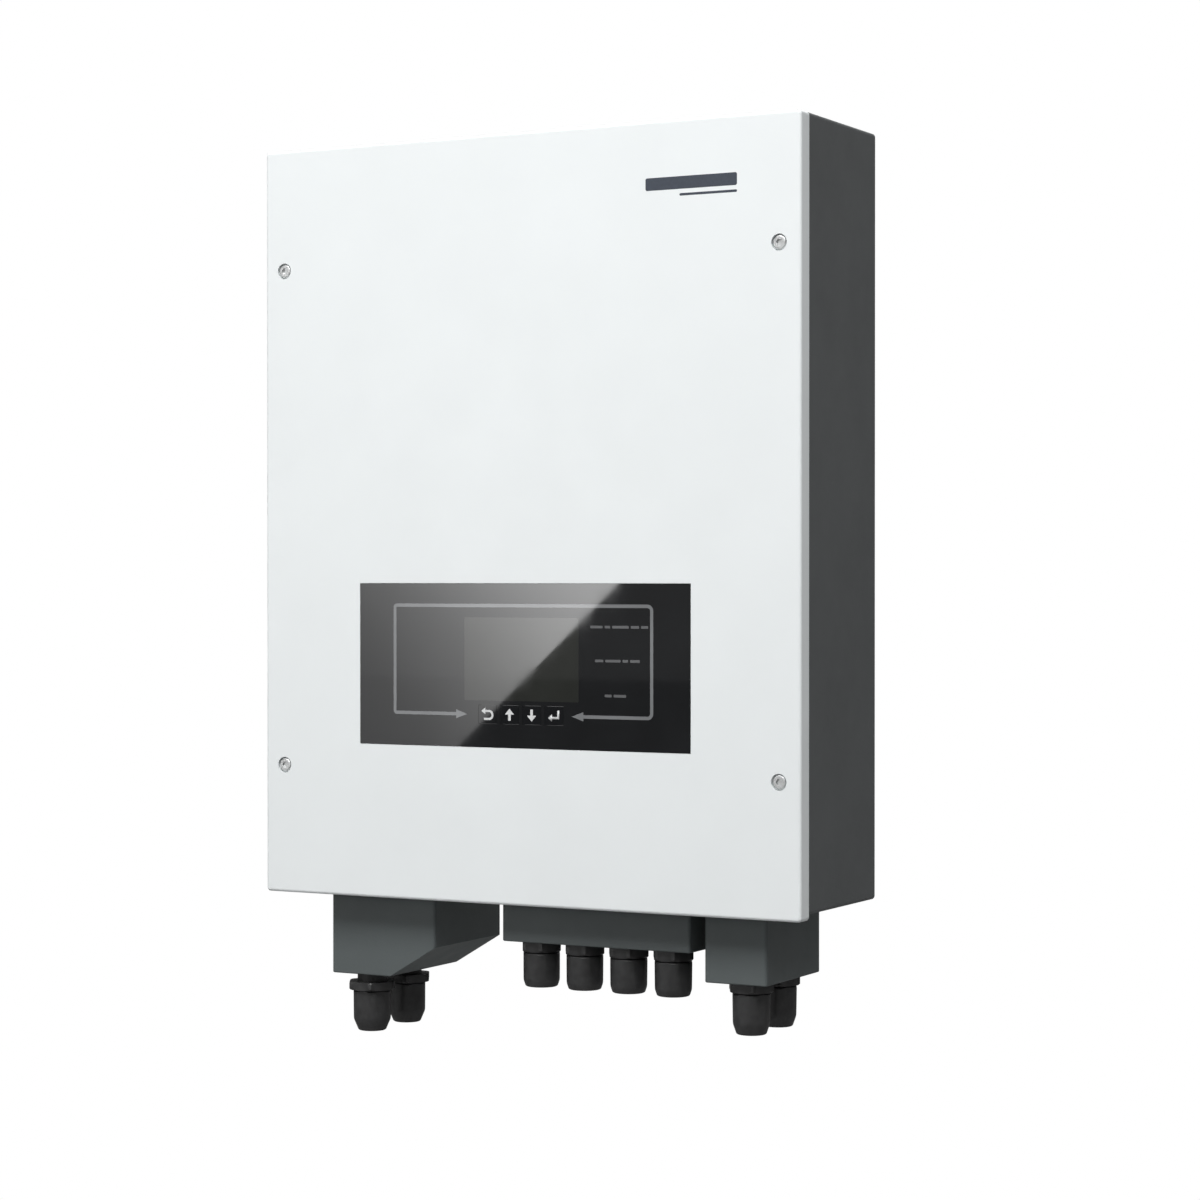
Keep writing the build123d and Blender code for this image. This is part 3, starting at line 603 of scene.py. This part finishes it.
def dome_nut(shape, nut_r, top, bottom, bore):
    """The dome nut: six flats that run out into a rounded taper, a chamfered mouth and a female thread."""
    mouth, shoulder = shape["cable"] + 1.2, bottom + shape["taper"]
    thread_start, thread_end = bottom + 9.4, top - 0.7
    outside = [(nut_r - 0.9, top, "outside"), (nut_r, top - 0.9, "outside")]
    outside += [(nut_r - 0.35, (top + shoulder) / 2, "outside"), (nut_r - 0.7, shoulder, "outside")]
    outside += [(shape["tip"] + 0.1, bottom + 0.5, "outside"), (shape["tip"] - 0.7, bottom, "outside")]
    outside += [(mouth + 0.7, bottom, "plain"), (mouth, bottom + 0.7, "plain")]
    profile = softened(outside, 1.6)
    profile += [(mouth, bottom + 3.0, "plain"), (bore, bottom + 9.0, "plain")]
    profile += threaded_run(bore, thread_start, thread_end)
    profile += [(bore + 0.6, top, "plain")]

    def reshape(angle, radius, height, kind):
        if kind == "outside":
            return soft_least(radius, hexagon_radius(angle, nut_r * FLATS_SHARE), 0.35)
        if kind == "thread":
            return radius + THREAD_DEPTH * (1 - thread_cut(angle, height, thread_start, thread_end))
        return radius

    return turned(profile, reshape)


def placed(part, x, y, z):
    """A part drawn in millimetres about Z, as vertices in metres at its place."""
    vertices, faces = part
    return [(x + px * MM, y + py * MM, z + pz * MM) for px, py, pz in vertices], faces


def cable_glands(materials):
    """Detailed gland bodies and dome nuts in the places of the plain ones."""
    bodies = {box: [] for box in GLAND_SHAPES}
    for node in sorted(nodes):
        if not node.endswith("_gland_nut"):
            continue
        box = node.split("_")[0]
        shape, floor = GLAND_SHAPES[box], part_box(f"{box}_gland_box")[0].z
        low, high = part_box(node)
        x, y = (low.x + high.x) / 2, (low.y + high.y) / 2
        nut_r = (high.x - low.x) / 2 / MM
        male_r = nut_r * MALE_SHARE
        top, bottom = (high.z - floor) / MM, (low.z - floor) / MM
        nut = placed(dome_nut(shape, nut_r, top, bottom, male_r + 0.2), x, y, floor)
        body = node.replace("_gland", "")
        piece = new_piece(f"{node}_shape", *nut, materials["black_nylon"], "black_nylon", body)
        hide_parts(node)
        bodies[box].append(placed(gland_body(shape, -top - NUT_GAP, male_r), x, y, floor))
    for box, parts in bodies.items():
        name, shape = f"{box}_gland_bodies_shape", joined(parts)
        piece = new_piece(name, *shape, materials["black_nylon"], "black_nylon", "inverter")
        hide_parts(f"{box}_gland_bodies")


materials = make_materials()
make_camera()
dress_frame(materials)
display_print(materials)
key_prints(materials)
name_badge(materials)
cable_glands(materials)


# Surroundings

SOFTBOX_POWER = 7.8                           # watts
HIGH_POWER = 90.0
RIGHT_POWER = 29.0
REAR_POWER = 20.0
AMBIENT_BELOW, AMBIENT_ABOVE = 0.11, 0.31     # strength of the surround as light
REFLECTED = 0.25                              # its strength in reflections


def make_floor():
    """A pale floor below the object, plain white from above and clear from below."""
    size, drop = 14.0, 0.30
    low = cad_box[0][2] - drop
    corners = [(-size, -size, low), (size, -size, low), (size, size, low), (-size, size, low)]
    mesh = bpy.data.meshes.new("floor")
    mesh.from_pydata(corners, [], [(0, 1, 2, 3)])
    floor = bpy.data.objects.new("floor", mesh)
    bpy.context.scene.collection.objects.link(floor)
    shader = Shader("pale_floor", (0.24, 0.24, 0.24), 0.8)
    shader.rough(shader.spread(shader.noise(0.2, 3.0), 0.75, 0.85))
    white = shader.node("Emission")
    seen = shader.node("MixShader")
    shader.link(shader.node("LightPath").outputs["Is Camera Ray"], seen.inputs[0])
    shader.link(shader.surface.outputs[0], seen.inputs[1])
    shader.link(white.outputs[0], seen.inputs[2])
    from_below = shader.node("MixShader")
    shader.link(shader.node("NewGeometry").outputs["Backfacing"], from_below.inputs[0])
    shader.link(seen.outputs[0], from_below.inputs[1])
    shader.link(shader.node("BsdfTransparent").outputs[0], from_below.inputs[2])
    shader.link(from_below.outputs[0], shader.output.inputs[0])
    mesh.materials.append(shader.material)


def area_light(name, place, aim, size, power):
    light = bpy.data.lights.new(name, "AREA")
    light.shape = "RECTANGLE"
    light.size, light.size_y = size
    light.energy = power
    rig = bpy.data.objects.new(name, light)
    rig.location = place
    rig.rotation_euler = (Vector(aim) - Vector(place)).to_track_quat("-Z", "Y").to_euler()
    rig.visible_camera = False
    bpy.context.scene.collection.objects.link(rig)
    return rig


def slanting_softbox():
    """A softbox whose straight lower edge shows as a slanting line in the gloss of the display.

    It is brighter towards its upper end, so the gloss grows lighter along the line."""
    camera = bpy.context.scene.camera
    mirror_eye = Vector((camera.location.x, 2 * PANEL_FACE - camera.location.y, camera.location.z))
    ends = []
    for x, z in (panel_point(71.8, 0.0), panel_point(-43.8, -104.0)):
        on_panel = Vector((x, PANEL_FACE, z))
        ends.append(mirror_eye + (on_panel - mirror_eye) * 2)
    along = (ends[0] - ends[1]).normalized()
    outward = Vector((-along.z, 0, along.x))
    below, length, width = 0.22, 0.65, 0.40
    centre = ends[1] + along * (length / 2 - below) + outward * width / 2
    rig = area_light("slanting_softbox", centre, centre, (length, width), SOFTBOX_POWER)
    facing = Vector((0, 1, 0))
    rig.rotation_euler = Matrix((along, -facing.cross(along), -facing)).transposed().to_euler()
    light = rig.data
    light.use_nodes = True
    tree = light.node_tree
    emission = next(node for node in tree.nodes if node.type == "EMISSION")
    place = tree.nodes.new("ShaderNodeNewGeometry")
    split = tree.nodes.new("ShaderNodeSeparateXYZ")
    ramp = tree.nodes.new("ShaderNodeValToRGB")
    ramp.color_ramp.interpolation = "B_SPLINE"
    steps = ((0.10, 0.11), (0.28, 0.15), (0.40, 0.26), (0.52, 0.41), (0.66, 0.70), (0.80, 0.94), (0.95, 1.0))
    while len(ramp.color_ramp.elements) < len(steps):
        ramp.color_ramp.elements.new(0.5)
    for element, (position, value) in zip(ramp.color_ramp.elements, steps):
        element.position = position
        element.color = (value, value, value, 1.0)
    tree.links.new(place.outputs["Parametric"], split.inputs[0])
    tree.links.new(split.outputs["X"], ramp.inputs["Fac"])
    tree.links.new(ramp.outputs["Color"], emission.inputs["Strength"])
    return rig


def make_lights():
    slanting_softbox()
    area_light("high_softbox", (0.2, -2.2, 2.0), (0, -0.1, -0.15), (1.8, 1.2), HIGH_POWER)
    area_light("right_softbox", (1.9, -0.5, 2.3), (0.2, -0.1, -0.15), (1.2, 1.2), RIGHT_POWER)
    area_light("rear_softbox", (-0.8, 2.6, 1.2), (0, 0, -0.15), (1.6, 1.6), REAR_POWER)


def make_world():
    """A white surround: pure white to the camera, dimmer as light, least of all from below."""
    world = bpy.data.worlds.new("surround")
    bpy.context.scene.world = world
    world.use_nodes = True
    tree = world.node_tree
    tree.nodes.clear()
    output = tree.nodes.new("ShaderNodeOutputWorld")
    background = tree.nodes.new("ShaderNodeBackground")
    path = tree.nodes.new("ShaderNodeLightPath")
    direction = tree.nodes.new("ShaderNodeTexCoord")
    split = tree.nodes.new("ShaderNodeSeparateXYZ")
    ambient = tree.nodes.new("ShaderNodeMapRange")
    limits = {"From Min": -1.0, "From Max": 1.0, "To Min": AMBIENT_BELOW, "To Max": AMBIENT_ABOVE}
    for name, value in limits.items():
        ambient.inputs[name].default_value = value
    tree.links.new(direction.outputs["Generated"], split.inputs[0])
    tree.links.new(split.outputs["Z"], ambient.inputs["Value"])
    picks = []
    for name, value in (("Is Glossy Ray", REFLECTED), ("Is Camera Ray", 1.0)):
        pick = tree.nodes.new("ShaderNodeMix")
        pick.data_type = "FLOAT"
        tree.links.new(path.outputs[name], pick.inputs["Factor"])
        pick.inputs[3].default_value = value
        picks.append(pick)
    tree.links.new(ambient.outputs["Result"], picks[0].inputs[2])
    tree.links.new(picks[0].outputs[0], picks[1].inputs[2])
    background.inputs["Color"].default_value = (1, 1, 1, 1)
    tree.links.new(picks[1].outputs[0], background.inputs["Strength"])
    tree.links.new(background.outputs[0], output.inputs[0])


make_floor()
make_lights()
make_world()
bpy.context.scene.view_settings.view_transform = "Standard"
